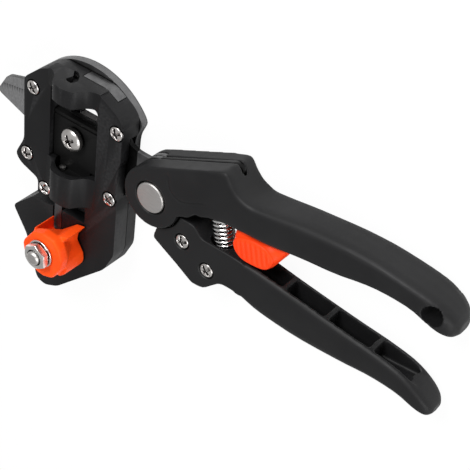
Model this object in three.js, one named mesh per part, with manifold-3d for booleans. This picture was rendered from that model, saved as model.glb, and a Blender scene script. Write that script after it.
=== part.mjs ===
// Grafting pruner, lying on its back, closed and locked.
// Millimetres. The origin is on the main pivot's axis, at the back of the tool.
// X runs from the pivot along the handles, Y up along the head's blade channel, Z out of the front.
import * as THREE from 'three';
import { mergeVertices } from 'three/addons/utils/BufferGeometryUtils.js';
import Module from 'manifold-3d';

const wasm = await Module();
wasm.setup();

// Thicknesses of the layers, from the back
const rearCheek = 3.6;
const rearDiscThickness = 3.3;
const skirtWall = 1.2;
const leverThickness = 2.1;
const frameThickness = 2;
const frontCoverThickness = 4.7;
const frontCheek = 7.9;
const lowerRise = 2;
const runningGap = 0.3;
const overrun = 1;

// The crank that moves the blade carriage
const crankRadius = 42.2;
const openingAngle = 20;
const crankPinRadius = 2;
const crankEnd = 4.2;
const pinCover = 0.6;

// The pivot
const bossRadius = 12.7;
const rivetRadius = 6.35;
const rivetHeadThickness = 1.3;
const rivetShaft = 4;
const bushWall = 1.6;

// The head
const headHalf = 25;
const channelHalf = 11.7;
const boreRadius = 9.6;
const barrelWall = 2.8;
const bridgeLength = 7.5;
const barrelTop = -10;
const barrelLength = 14;
const mouthHeight = 5.6;
const windowSill = 8.45;
const windowHeight = 7.5;
const windowSide = 5.4;
const neckHalf = 9.7;
const neckFillet = 3.6;
const tongueReach = 19.3;
const tongueWidth = 17.2;
const blockRise = 0.8;

// Screws
const screwHead = 2.9;
const screwHeadThickness = 1.4;
const screwShaft = 1.5;
const screwEnd = 1.5;
const bladeScrewHead = 4.8;
const bladeScrewHeight = 3.4;
const bladeScrewShaft = 2;
const setScrewHead = 1.4;

// The carriage and its blade
const carriageThickness = 2.4;
const carriageTop = 11;
const rodLength = 10.3;
const bladeWidth = 3.8;
const bladeThickness = 1.2;
const bladeReach = 21;
const bladeOffset = 6.2;

// The anvil and its bolt
const anvilDrop = 44;
const anvilSize = 10;
const anvilLength = 15.2;
const anvilFaceRadius = 9.8;
const anvilFaceThickness = 3.2;
const boltRadius = 3;
const boltHeadThickness = 3;
const boltTip = 1.2;
const nutFlats = 10;
const nutThickness = 3.2;
const washerRadius = 6;
const washerWall = 1.2;
const washerThickness = 0.7;

// The handles
const handleLength = 129;
const lowerLength = 126.5;
const lowerThickness = 12.5;
const lowerWall = 2.4;
const tangReach = 34;
const hangHole = 4.3;
const panelDepth = 0.5;
const ribThickness = 2;

// The spring between the handles
const springRadius = 3.65;
const springWire = 1.15;
const springPitch = 1.75;
const springTurns = 8.5;
const springLean = 13.6;
const springSeat = 5;

// The lock
const lockLength = 19.5;
const lockHeight = 9.8;
const lockThickness = 14.4;
const lockStem = 9;
const lockStemThickness = 4;
const lockTravel = 4;
const lockSlope = 4.1;

// Levels, from the back
const leverBack = rearCheek + runningGap;
const leverFront = leverBack + leverThickness;
const frameBack = leverFront + runningGap;
const frameFront = frameBack + frameThickness;
const coverBack = frameFront + runningGap;
const headFront = coverBack + frontCoverThickness;
const cheekBack = frameFront + runningGap;
const handleFront = cheekBack + frontCheek;
const handleMiddle = handleFront / 2;
const rearCoverFront = frameBack - runningGap;
const rearCoverBack = rearDiscThickness + runningGap;
const carriageFront = coverBack + carriageThickness;
const lowerFront = lowerRise + lowerThickness;
const anvilBack = headFront + runningGap;
const anvilFront = anvilBack + anvilLength;
const washerFront = anvilFront + runningGap + washerThickness;
const nutFront = washerFront + runningGap + nutThickness;

// Places on the head
const channelX = -crankRadius;
const headTopShare = 1.2;
const rimShare = 1.232;
const rimRadius = headHalf * rimShare;
const rimX = channelX;
const rimY = runningGap * 5;
const barrelBottom = barrelTop - barrelLength;
const bridgeTop = headHalf * headTopShare;
const bridgeBottom = bridgeTop - bridgeLength;
const halfTurn = THREE.MathUtils.degToRad(openingAngle / 2);
const pinX = -crankRadius * Math.cos(halfTurn);
const pinY = -crankRadius * Math.sin(halfTurn);
const pinTop = carriageFront - pinCover - runningGap;
const stroke = -2 * pinY;
const anvilY = -anvilDrop;
const rodTop = barrelBottom + rodLength;
const mouthTop = barrelBottom - barrelWall;
const bladeScrewY = carriageTop * 0.3;
const setScrewPlace = [channelX - bladeOffset * 0.8, rodTop, headFront - setScrewHead / 2];
const screwHole = screwShaft + runningGap;
const lowLine = barrelTop - screwHead * 3;
const windowRight = boreRadius;
const headPlace = ([u, v]) => [channelX + u * headHalf, v * headHalf];
const coverScrewShares = [[-0.83, 0.69], [-0.94, -0.6], [0.87, 0.68], [0.8, -0.58], [-0.54, -1.09]];
const coverScrews = coverScrewShares.map(headPlace);

// Places on the handles, as shares of the lower handle's length
const handleScrewShares = [[0.118, -0.107], [0.216, -0.161]];
const handleScrews = handleScrewShares.map(([u, v]) => [u * lowerLength, v * lowerLength]);

// Materials
const paint = (color, roughness, metalness) => new THREE.MeshStandardMaterial({ color, roughness, metalness });
const blackPlastic = () => paint(0x27282b, 0.6, 0);
const coatedSteel = () => paint(0x55565a, 0.45, 0.8);
const brightSteel = () => paint(0xc8c3bd, 0.28, 1);
const orangePlastic = () => paint(0xff5a1e, 0.45, 0);

// A closed geometry as a solid that can be joined and cut
function solid(geometry) {
  geometry.deleteAttribute('normal');
  geometry.deleteAttribute('uv');
  const merged = mergeVertices(geometry, runningGap / 3000);
  return new wasm.Manifold(new wasm.Mesh({
    numProp: 3,
    vertProperties: new Float32Array(merged.attributes.position.array),
    triVerts: new Uint32Array(merged.index.array),
  }));
}

// A solid as a named mesh
function node(name, body, material) {
  const data = body.getMesh();
  const geometry = new THREE.BufferGeometry();
  geometry.setAttribute('position', new THREE.BufferAttribute(data.vertProperties, 3));
  geometry.setIndex(new THREE.BufferAttribute(data.triVerts, 1));
  const mesh = new THREE.Mesh(geometry, material);
  mesh.name = name;
  return mesh;
}

const join = (first, ...rest) => rest.reduce((sum, next) => sum.add(next), first);
const cut = (first, ...rest) => rest.reduce((sum, next) => sum.subtract(next), first);

// A polygon with rounded corners
function roundedShape(points, radius, steps = 3) {
  const corners = points.map(([x, y]) => new THREE.Vector2(x, y));
  const outline = corners.flatMap((here, index) => {
    const before = corners.at(index - 1);
    const after = corners[(index + 1) % corners.length];
    const reach = Math.min(radius, here.distanceTo(before) / 2.1, here.distanceTo(after) / 2.1);
    const start = here.clone().add(before.clone().sub(here).setLength(reach));
    const end = here.clone().add(after.clone().sub(here).setLength(reach));
    return new THREE.QuadraticBezierCurve(start, here, end).getPoints(steps);
  });
  return new THREE.Shape(outline);
}

// A grip lofted along X. Stations hold the place along it, its lower and upper edge and its fullness, the first
// three as shares of its length, and the squareness of its rounded oblong cross-section
function loft(stations, length, middle, half) {
  const sides = 20;
  const rings = 26;
  const column = (index) => new THREE.SplineCurve(stations.map((share) => new THREE.Vector2(share[0], share[index])));
  const [lows, highs, fulls, squares] = [1, 2, 3, 4].map(column);
  const positions = [];
  const triangles = [];
  for (let ring = 0; ring <= rings; ring += 1) {
    const low = lows.getPoint(ring / rings);
    const high = highs.getPoint(ring / rings);
    const deep = half * fulls.getPoint(ring / rings).y;
    const power = (value) => Math.sign(value) * Math.abs(value) ** (2 / squares.getPoint(ring / rings).y);
    const middleY = (low.y + high.y) * length / 2;
    const tall = (high.y - low.y) * length / 2;
    for (let side = 0; side < sides; side += 1) {
      const turn = (side / sides) * Math.PI * 2;
      positions.push(low.x * length, middleY + tall * power(Math.cos(turn)), middle + deep * power(Math.sin(turn)));
      if (ring > 0) {
        const here = ring * sides + side;
        const next = ring * sides + (side + 1) % sides;
        triangles.push(here - sides, next - sides, here, next - sides, next, here);
      }
    }
  }
  const end = rings * sides;
  for (let side = 1; side < sides - 1; side += 1) {
    triangles.push(0, side + 1, side, end, end + side, end + side + 1);
  }
  const geometry = new THREE.BufferGeometry();
  geometry.setAttribute('position', new THREE.Float32BufferAttribute(positions, 3));
  geometry.setIndex(triangles);
  return solid(geometry);
}

// A shape as a slab between two levels
function slab(shape, bottom, top) {
  const geometry = new THREE.ExtrudeGeometry(shape, { depth: top - bottom, bevelEnabled: false });
  return solid(geometry.translate(0, 0, bottom));
}

// An upright round bar
function post([x, y], radius, bottom, top, steps = 24) {
  const geometry = new THREE.CylinderGeometry(radius, radius, top - bottom, steps);
  return solid(geometry.rotateX(Math.PI / 2).translate(x, y, (top + bottom) / 2));
}

// A round bar along the channel, of which only the half above the frame plate is kept
function channelBar(radius, bottom, top) {
  const geometry = new THREE.CylinderGeometry(radius, radius, top - bottom, 48);
  const bar = solid(geometry.translate(channelX, (top + bottom) / 2, frameFront));
  return bar.intersect(block([channelX - radius, bottom, coverBack], [channelX + radius, top, coverBack + radius]));
}

// A box between two corners
function block(low, high) {
  const size = high.map((value, axis) => value - low[axis]);
  const middle = high.map((value, axis) => (value + low[axis]) / 2);
  return solid(new THREE.BoxGeometry(...size).translate(...middle));
}

// A turned piece standing on its axis, from its half outline
function turned([x, y], profile, steps = 24) {
  const points = profile.map(([radius, level]) => new THREE.Vector2(radius, level));
  const geometry = new THREE.LatheGeometry(points, steps);
  return solid(geometry.rotateX(Math.PI / 2).translate(x, y, 0));
}

// A cross-slotted pan-head screw whose head bears at a level
function crossScrew(place, head, shaft, bearing, end, height = screwHeadThickness) {
  const top = bearing + height;
  const body = turned(place, [
    [0, end], [shaft, end], [shaft, bearing], [head, bearing],
    [head, bearing + height / 4], [head * 0.85, bearing + height * 0.6], [head * 0.5, top - height / 9], [0, top],
  ]);
  const [x, y] = place;
  const slot = head / 6;
  const floor = bearing + height / 2;
  const across = block([x - head * 0.6, y - slot, floor], [x + head * 0.6, y + slot, top + overrun]);
  const along = block([x - slot, y - head * 0.6, floor], [x + slot, y + head * 0.6, top + overrun]);
  return cut(body, across, along);
}

// The head's outline, as shares of half its width, from the channel's axis
const headShares = [
  [-1.02, 0.8], [-0.7, 1.09], [-0.47, headTopShare], [0.47, headTopShare], [0.85, 1], [0.98, 0.86], [0.98, 0.16],
  [0.94, 0.08], [0.93, -0.55], [0.96, -0.76], [0.96, -1.63], [0.78, -2.02], [-0.21, -2.98],
  [-0.49, -3.11], [-0.67, -3.05], [-0.92, -2.25], [-1.23, -1.8], [-0.69, -1.3], [-0.69, -0.98],
  [-1.08, -0.85], [-1.19, -0.72], [-1.01, -0.36],
];

// The head's outline, drawn in by a distance
function headShape(inset = 0) {
  const corners = headShares.map((share) => new THREE.Vector2(...headPlace(share)));
  const drawn = corners.map((corner, index) => {
    const before = corner.clone().sub(corners.at(index - 1)).normalize();
    const after = corners[(index + 1) % corners.length].clone().sub(corner).normalize();
    const inward = new THREE.Vector2(before.y + after.y, -before.x - after.x);
    return corner.clone().addScaledVector(inward, inset / (1 + before.dot(after))).toArray();
  });
  return roundedShape(drawn, headHalf / 12);
}

// A skirt that follows the head's outline
function headSkirt(bottom, top) {
  return cut(slab(headShape(), bottom, top), slab(headShape(skirtWall), bottom - overrun, top + overrun));
}

// The stretch of the head's edge where the frame plate shows instead of the cover's skirt
function edgeWindow(room) {
  return block([channelX - room, barrelTop, 0], [channelX + headHalf * 0.7 + room, bridgeTop + headHalf, coverBack]);
}

// The window through the plates behind the channel
function plateWindow(bottom, top) {
  return block([channelX - windowSide, windowSill, bottom], [channelX + windowRight, windowSill + windowHeight, top]);
}

// The ridge that the barrel and the bridge stand out with, as shares of its half width and its height
const ridgeShares = [
  [-1, 0], [-0.78, 0.09], [-0.62, 0.3], [-0.5, 0.6], [-0.36, 0.88], [0, 1], [0.36, 0.88], [0.5, 0.6], [0.62, 0.3],
  [0.78, 0.09], [1, 0],
];

function ridge(bottom, top) {
  const half = (boreRadius + barrelWall) * 1.05;
  const height = frameFront + boreRadius + barrelWall - headFront;
  const crest = new THREE.SplineCurve(ridgeShares.map(([u, v]) =>
    new THREE.Vector2(channelX + u * half, headFront + v * height))).getPoints(30);
  const outline = [new THREE.Vector2(channelX - half, coverBack), ...crest, new THREE.Vector2(channelX + half, coverBack)];
  const geometry = new THREE.ExtrudeGeometry(new THREE.Shape(outline), { depth: top - bottom, bevelEnabled: false });
  return solid(geometry.rotateX(Math.PI / 2).translate(0, top, 0));
}

// The pocket in the bridge's top face, as shares of the ridge's bore
const bridgePocketShares = [
  [-0.35, 0.66], [-0.16, 0.74], [0.06, 0.72], [0.12, 0.45], [-0.08, 0.12], [-0.32, -0.05], [-0.52, -0.05], [-0.26, 0.3],
];

function bridgePocket() {
  const points = bridgePocketShares.map(([u, v]) => [channelX + u * boreRadius, frameFront + v * boreRadius]);
  const depth = bridgeLength / 3;
  const geometry = new THREE.ExtrudeGeometry(roundedShape(points, boreRadius / 12), { depth: depth + overrun, bevelEnabled: false });
  return solid(geometry.rotateX(Math.PI / 2).translate(0, bridgeTop + overrun, 0));
}

// The holes of the five cover screws
function coverHoles(bottom, top) {
  return join(...coverScrews.map((place) => post(place, screwHole, bottom, top, 16)));
}

// The front cover, with the bridge and the barrel that the carriage slides in
function frontCover() {
  const plate = slab(headShape(), coverBack, headFront);
  const lowBlock = block([channelX - headHalf * 2, -headHalf * 4, 0], [0, lowLine + runningGap, frameBack]);
  const neckRoomHalf = neckHalf + neckFillet + runningGap;
  const neckRoom = block([channelX + channelHalf, -neckRoomHalf, 0], [0, neckRoomHalf, coverBack]);
  const tongueRoom = block([channelX - headHalf * 2, -tongueWidth / 2, frameBack - runningGap],
    [channelX - headHalf / 2, tongueWidth, coverBack]);
  const skirt = cut(headSkirt(rearCoverBack, headFront), lowBlock, neckRoom, tongueRoom, edgeWindow(runningGap));
  const left = channelX - channelHalf;
  const right = channelX + channelHalf;
  const bore = channelBar(boreRadius, mouthTop - overrun, barrelTop + overrun);
  const channel = block([left, barrelTop, 0], [right, bridgeBottom, headFront + overrun]);
  const bridgeSlot = block([left, bridgeBottom - overrun, 0],
    [right, carriageTop + stroke + runningGap, carriageFront + runningGap]);
  const screwRoom = post([channelX, bladeScrewY + stroke], bladeScrewHead + 2 * runningGap, 0,
    carriageFront + bladeScrewHeight + 2 * runningGap);
  const mouthShares = [[0.33, 0], [0.33, -1.15], [-0.2, -1.15], [-0.9, -1.5], [-0.9, -0.85], [-0.3, -0.6], [-0.3, 0]];
  const mouthPlace = ([u, v]) => [channelX + u * headHalf, mouthTop + v * mouthHeight];
  const mouth = slab(roundedShape(mouthShares.map(mouthPlace), mouthHeight / 8), 0, headFront + overrun);
  const bladeSlot = bladeStrip(runningGap * 2, headFront + overrun);
  const boltHole = post([channelX, anvilY], boltRadius + runningGap, 0, headFront + overrun);
  const rings = join(...coverScrews.map((place) =>
    post(place, screwHead + 2 * runningGap, headFront - screwHeadThickness / 2, headFront + overrun, 20)));
  const body = join(cut(plate, channel), skirt, ridge(bridgeBottom, bridgeTop), cut(ridge(barrelBottom, barrelTop), bore));
  const room = join(bridgeSlot, screwRoom, bridgePocket(), bore, mouth, bladeSlot, boltHole, rings);
  return node('front_cover', cut(body, room, coverHoles(0, headFront + overrun)), blackPlastic());
}

// The blade's strip, or with room around it the way it slides in
function bladeStrip(room, front) {
  const middle = channelX - bladeOffset;
  const low = barrelBottom - bladeReach - (room > 0 ? runningGap : 0);
  const back = headFront - runningGap - bladeThickness;
  return block([middle - bladeWidth / 2 - room, low, back - room],
    [middle + bladeWidth / 2 + room, barrelBottom + rodLength / 2 + room, front]);
}

// The grafting blade, sharpened at its lower end
function graftingBlade() {
  const front = headFront - runningGap;
  const low = barrelBottom - bladeReach;
  const edge = block([-headHalf, -headHalf / 2, 0], [headHalf, 0, headHalf]).rotate([30, 0, 0])
    .translate([channelX, low + bladeThickness, front - bladeThickness]);
  return node('grafting_blade', cut(bladeStrip(0, front), edge), brightSteel());
}

// The carriage: a plate in the channel and a half-round rod in the barrel
function bladeCarriage() {
  const plateHalf = channelHalf - runningGap;
  const plate = block([channelX - plateHalf, barrelTop + runningGap, coverBack], [channelX + plateHalf, carriageTop, carriageFront]);
  const rodRadius = boreRadius - 1.3 * runningGap;
  const rod = channelBar(rodRadius, barrelBottom, rodTop);
  const webHalf = rodRadius * 0.85;
  const web = block([channelX - webHalf, rodTop - overrun, coverBack], [channelX + webHalf, barrelTop + overrun, carriageFront]);
  const pinRoom = crankPinRadius + runningGap;
  const pinSlot = block([-crankRadius - pinRoom, pinY - pinRoom, 0], [pinX + pinRoom, pinY + pinRoom, pinTop + runningGap]);
  const bore = post([channelX, bladeScrewY], bladeScrewShaft + runningGap, 0, headFront, 16);
  const bladeRoom = bladeStrip(runningGap, headFront + overrun);
  const grooveTop = carriageTop - carriageThickness / 2;
  const groove = block([channelX - channelHalf, grooveTop - carriageThickness / 3, carriageFront - carriageThickness / 3],
    [channelX + channelHalf, grooveTop, carriageFront + overrun]);
  const setRoom = post([0, 0], setScrewHead / 2 + runningGap, -rodLength / 3, overrun, 12).rotate([-90, 0, 0])
    .translate(setScrewPlace);
  return node('blade_carriage', cut(join(plate, rod, web), pinSlot, bore, groove, bladeRoom, setRoom), blackPlastic());
}

// The screws of the blade
function bladeScrew() {
  const body = crossScrew([channelX, bladeScrewY], bladeScrewHead, bladeScrewShaft, carriageFront + runningGap,
    coverBack + runningGap, bladeScrewHeight);
  return node('blade_screw', body, brightSteel());
}

function setScrew() {
  const body = turned([0, 0], [
    [0, -rodLength / 4], [setScrewHead / 2, -rodLength / 4], [setScrewHead / 2, runningGap],
    [setScrewHead, runningGap], [setScrewHead, setScrewHead], [0, setScrewHead * 1.2],
  ], 16);
  return node('blade_set_screw', body.rotate([-90, 0, 0]).translate(setScrewPlace), brightSteel());
}

// The rear cover: a thin spacer inside the skirt and the full lower block
function rearCover() {
  const thin = slab(headShape(skirtWall + runningGap), rearCoverBack, rearCoverFront);
  const low = slab(headShape(), blockRise, rearCoverFront);
  const lowKeep = block([channelX - headHalf * 2, -headHalf * 4, 0], [0, lowLine, headHalf]);
  const discRoom = post([rimX, rimY], rimRadius + runningGap, 0, rearCoverBack, 96);
  const sweepHalf = -pinY + crankEnd + 2 * runningGap;
  const sweep = block([channelX - crankEnd - 2 * runningGap, -sweepHalf, 0], [0, sweepHalf, headHalf]);
  const boltHole = post([channelX, anvilY], boltRadius + runningGap, 0, headFront);
  const headRoom = hexBar([channelX, anvilY], nutFlats + 2 * runningGap, 0, blockRise + boltHeadThickness + 2 * runningGap);
  const body = join(thin, cut(low.intersect(lowKeep), discRoom));
  const holes = coverHoles(screwEnd - runningGap, headFront);
  return node('rear_cover', cut(body, sweep, plateWindow(0, headHalf), boltHole, headRoom, holes), blackPlastic());
}

// The round disc behind the head, cut away beside the pivot
const discKeepShares = [[-1, -1.3], [-1, 1.4], [1.04, 1.4], [1.04, 0.7], [0.92, 0.46], [0.9, -1.3]];

function rearDisc() {
  const disc = post([rimX, rimY], rimRadius, 0, rearDiscThickness, 96);
  const keep = slab(roundedShape(discKeepShares.map(headPlace), headHalf / 8), -overrun, rearDiscThickness + overrun);
  const holes = coverHoles(screwEnd - runningGap, headFront);
  return node('rear_disc', cut(disc.intersect(keep), plateWindow(-overrun, headFront), holes), coatedSteel());
}

// The steel frame plate: head plate, neck, pivot disc, tang in the handle and the side tongue
const tangShares = [[-0.14, 0.338], [0.9, 0.826], [1, 0.8], [1, 0.52], [0.35, 0.1], [0, -0.12]];

function framePlate() {
  const plate = slab(headShape(skirtWall + runningGap), frameBack, frameFront);
  const lip = join(slab(headShape(), frameBack, frameFront), headSkirt(rearCoverBack, frameFront)).intersect(edgeWindow(0));
  const tongueShares = [[0.2, 1.05], [-0.27, 1], [-0.75, 0.84], [-1, 0.38], [-0.96, 0.29], [-0.24, 0], [0.2, -0.15]];
  const tonguePlace = ([u, v]) => [channelX - headHalf + u * tongueReach, v * tongueWidth - tongueWidth / 6];
  const tongue = slab(roundedShape(tongueShares.map(tonguePlace), tongueWidth / 12), frameBack, frameFront);
  const neckRoot = channelX + headHalf * 0.9;
  const neckShares = [[-1, 1], [0.3, 1], [0.5, 0.42], [1.6, 0]];
  const neckUpper = neckShares.map(([u, v]) => [neckRoot + u * neckFillet, neckHalf + v * neckFillet]);
  const neckLower = neckUpper.map(([x, y]) => [x, -y]).reverse();
  const neck = slab(roundedShape([...neckUpper, [0, neckHalf], [0, -neckHalf], ...neckLower], neckFillet), frameBack, frameFront);
  const disc = post([0, 0], bossRadius, frameBack, frameFront, 48);
  const tang = slab(roundedShape(tangShares.map(([u, v]) => [u * tangReach, v * tangReach]), bossRadius / 8), frameBack, frameFront);
  const bushHole = post([0, 0], rivetShaft + bushWall + 2 * runningGap, 0, headFront);
  const boltHole = post([channelX, anvilY], boltRadius + runningGap, 0, headFront);
  const pinRoom = crankPinRadius + 2 * runningGap;
  const pinSlot = block([-crankRadius - pinRoom, pinY - pinRoom, 0], [pinX + pinRoom, -pinY + pinRoom, headFront]);
  const window = plateWindow(0, headFront).translate([0, windowHeight / 3, 0]);
  const body = join(plate, lip, tongue, neck, disc, tang);
  return node('frame_plate', cut(body, bushHole, boltHole, pinSlot, window, coverHoles(0, headFront)), coatedSteel());
}

// The lever plate: pivot disc, crank arm and the tang in the lower handle
const leverShares = [[0.08, -0.04], [0.13, -0.034], [0.155, -0.055], [0.235, -0.13], [0.24, -0.19], [0.21, -0.215],
  [0.165, -0.21], [0.025, -0.14], [0.01, -0.08]];

function leverTang(room) {
  const points = leverShares.map(([u, v]) => [u * lowerLength, v * lowerLength]);
  const shape = roundedShape(points, bossRadius / 8);
  return slab(shape, leverBack - room, leverFront + room);
}

function leverPlate() {
  const disc = post([0, 0], bossRadius, leverBack, leverFront, 48);
  const along = new THREE.Vector2(pinX, pinY).normalize();
  const side = new THREE.Vector2(-along.y, along.x).multiplyScalar(crankEnd);
  const arm = slab(new THREE.Shape([
    new THREE.Vector2(side.x, side.y),
    new THREE.Vector2(pinX + side.x, pinY + side.y),
    new THREE.Vector2(pinX - side.x, pinY - side.y),
    new THREE.Vector2(-side.x, -side.y),
  ]), leverBack, leverFront);
  const end = post([pinX, pinY], crankEnd, leverBack, leverFront);
  const bushHole = post([0, 0], rivetShaft + bushWall + 2 * runningGap, 0, headFront);
  const pinHole = post([pinX, pinY], crankPinRadius + runningGap / 3, 0, headFront);
  const holes = join(...handleScrews.map((place) => post(place, screwHole, 0, headFront, 16)));
  return node('lever_plate', cut(join(disc, arm, end, leverTang(0)), bushHole, pinHole, holes), coatedSteel());
}

// The pin at the crank's end
function crankPin() {
  return node('crank_pin', post([pinX, pinY], crankPinRadius, leverBack, pinTop), brightSteel());
}

// The pivot's rivet and bush
function pivotRivet() {
  const top = handleFront + runningGap;
  const body = turned([0, 0], [
    [0, 0], [rivetRadius, 0], [rivetRadius, rivetHeadThickness], [rivetShaft, rivetHeadThickness],
    [rivetShaft, top - rivetHeadThickness], [rivetRadius, top - rivetHeadThickness],
    [rivetRadius, top - rivetHeadThickness / 3], [rivetRadius * 0.93, top], [0, top],
  ], 40);
  return node('pivot_rivet', body, brightSteel());
}

function pivotBush() {
  const inner = rivetShaft + runningGap;
  const tube = post([0, 0], inner + bushWall, leverBack, frameFront);
  return node('pivot_bush', cut(tube, post([0, 0], inner, 0, headFront)), brightSteel());
}

// A six-sided bar
function hexBar(place, flats, bottom, top) {
  return post(place, flats / Math.sqrt(3), bottom, top, 6);
}

// The anvil: outline as shares of its size, round its bolt
function anvil() {
  const shares = [
    [-0.83, 0.55], [-0.71, -0.12], [0.14, 0.6], [0.48, 0.87], [0.88, 0.97], [0.44, 0.14],
    [0.9, -0.32], [0.97, -0.67], [0.81, -0.81], [0.7, -1], [0, -1], [-0.5, -0.55], [-0.89, 0],
  ];
  const shape = roundedShape(shares.map(([u, v]) => [channelX + u * anvilSize, anvilY + v * anvilSize]), anvilSize / 8);
  const face = post([channelX, anvilY], anvilFaceRadius, anvilFront - anvilFaceThickness, anvilFront, 40);
  const body = join(slab(shape, anvilBack, anvilFront), face);
  return node('anvil', cut(body, post([channelX, anvilY], boltRadius + runningGap, 0, anvilFront + overrun)), orangePlastic());
}

function anvilBolt() {
  const place = [channelX, anvilY];
  const head = hexBar(place, nutFlats, blockRise, blockRise + boltHeadThickness);
  const tip = nutFront + boltTip;
  const shank = turned(place, [
    [0, blockRise], [boltRadius, blockRise], [boltRadius, tip - boltRadius / 4], [boltRadius * 0.75, tip], [0, tip],
  ]);
  return node('anvil_bolt', join(head, shank), brightSteel());
}

function anvilWasher() {
  const ring = post([channelX, anvilY], washerRadius, anvilFront + runningGap, washerFront, 32);
  return node('anvil_washer', cut(ring, post([channelX, anvilY], washerRadius - washerWall, 0, anvilFront * 2, 32)), brightSteel());
}

function anvilNut() {
  const bar = hexBar([channelX, anvilY], nutFlats, washerFront + runningGap, nutFront);
  return node('anvil_nut', cut(bar, post([channelX, anvilY], boltRadius + runningGap, 0, anvilFront * 2)), brightSteel());
}

// The spring's axis runs from the upper handle down to the lower one
const springTop = new THREE.Vector3(bossRadius * 2.12, bossRadius * 0.43, handleMiddle);
const springAlong = new THREE.Vector3(0, -1, 0).applyAxisAngle(new THREE.Vector3(0, 0, 1), THREE.MathUtils.degToRad(springLean));
const springLength = springPitch * springTurns;

function springPocket(from, to) {
  const geometry = new THREE.CylinderGeometry(springSeat, springSeat, to - from, 24);
  geometry.rotateZ(THREE.MathUtils.degToRad(springLean));
  const middle = springTop.clone().addScaledVector(springAlong, (from + to) / 2);
  return solid(geometry.translate(middle.x, middle.y, middle.z));
}

// The wire's centre line, with a straight stretch of one wire thickness at each end
function springPath() {
  const out = new THREE.Vector3(0, 0, 1);
  const across = new THREE.Vector3().crossVectors(springAlong, out);
  const steps = Math.round(springTurns * 8);
  const spots = Array.from({ length: steps + 1 }, (_, step) => {
    const turn = (step / steps) * springTurns * Math.PI * 2;
    const radial = out.clone().multiplyScalar(Math.cos(turn)).addScaledVector(across, Math.sin(turn));
    const centre = springTop.clone().addScaledVector(springAlong, (step / steps) * springLength);
    return { point: centre.addScaledVector(radial, springRadius), radial };
  });
  const first = spots[0];
  const last = spots[steps];
  const lead = first.point.clone().sub(spots[1].point).setLength(springWire);
  const trail = last.point.clone().sub(spots[steps - 1].point).setLength(springWire);
  spots.unshift({ point: first.point.clone().add(lead), radial: first.radial });
  spots.push({ point: last.point.clone().add(trail), radial: last.radial });
  return spots;
}

function returnSpring() {
  const sides = 5;
  const spots = springPath();
  const positions = [];
  const triangles = [];
  spots.forEach(({ point, radial }, index) => {
    const before = spots[Math.max(index - 1, 0)].point;
    const after = spots[Math.min(index + 1, spots.length - 1)].point;
    const tangent = after.clone().sub(before).normalize();
    const beside = new THREE.Vector3().crossVectors(tangent, radial).normalize();
    const outward = new THREE.Vector3().crossVectors(beside, tangent);
    for (let side = 0; side < sides; side += 1) {
      const turn = (side / sides) * Math.PI * 2;
      const spot = point.clone().addScaledVector(outward, Math.cos(turn) * springWire / 2)
        .addScaledVector(beside, Math.sin(turn) * springWire / 2);
      positions.push(spot.x, spot.y, spot.z);
      if (index > 0) {
        const here = index * sides + side;
        const next = index * sides + (side + 1) % sides;
        triangles.push(here - sides, next - sides, here, next - sides, next, here);
      }
    }
  });
  const end = (spots.length - 1) * sides;
  for (let side = 1; side < sides - 1; side += 1) {
    triangles.push(0, side + 1, side, end, end + side, end + side + 1);
  }
  const geometry = new THREE.BufferGeometry();
  geometry.setAttribute('position', new THREE.Float32BufferAttribute(positions, 3));
  geometry.setIndex(triangles);
  reportSpringGap(spots);
  const mesh = new THREE.Mesh(geometry, brightSteel());
  mesh.name = 'return_spring';
  return mesh;
}

// The least gap between the wire and its own neighbouring turns, on points along the wire
function reportSpringGap(spots) {
  let least = Infinity;
  spots.forEach((first, index) => {
    spots.slice(index + 5).forEach((second) => {
      least = Math.min(least, first.point.distanceTo(second.point) - springWire);
    });
  });
  console.log(`least gap between the spring's turns ${least.toFixed(2)} mm`);
}

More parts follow.
